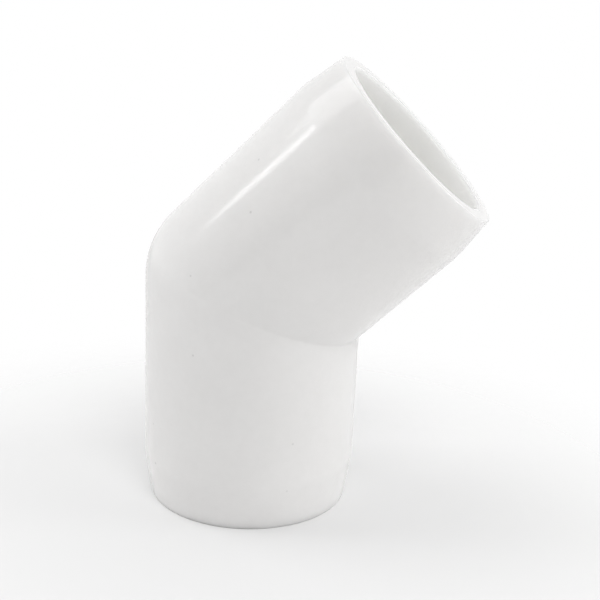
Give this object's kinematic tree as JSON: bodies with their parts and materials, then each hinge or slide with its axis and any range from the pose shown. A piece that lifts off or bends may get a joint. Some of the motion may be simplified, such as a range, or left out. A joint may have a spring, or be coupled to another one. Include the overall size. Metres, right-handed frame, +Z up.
{
  "type": "pvc elbow fitting",
  "caption": "White rigid PVC 45 degree elbow with a solvent-weld socket at each end, a pipe stop in each socket and a waterway bending between them.",
  "frame": {"origin": "centre of the lower mouth's end face", "axes": "+Z up the lower arm's axis into the fitting; the upper arm leans 45 degrees from +Z towards +X; the fitting is even about y = 0"},
  "size_m": [0.0428, 0.0278, 0.0569],
  "materials": {
    "white_pvc": "moulded rigid PVC with a soft gloss"
  },
  "bodies": {
    "root": {"elbow_body": "white_pvc"}
  },
  "joints": []
}
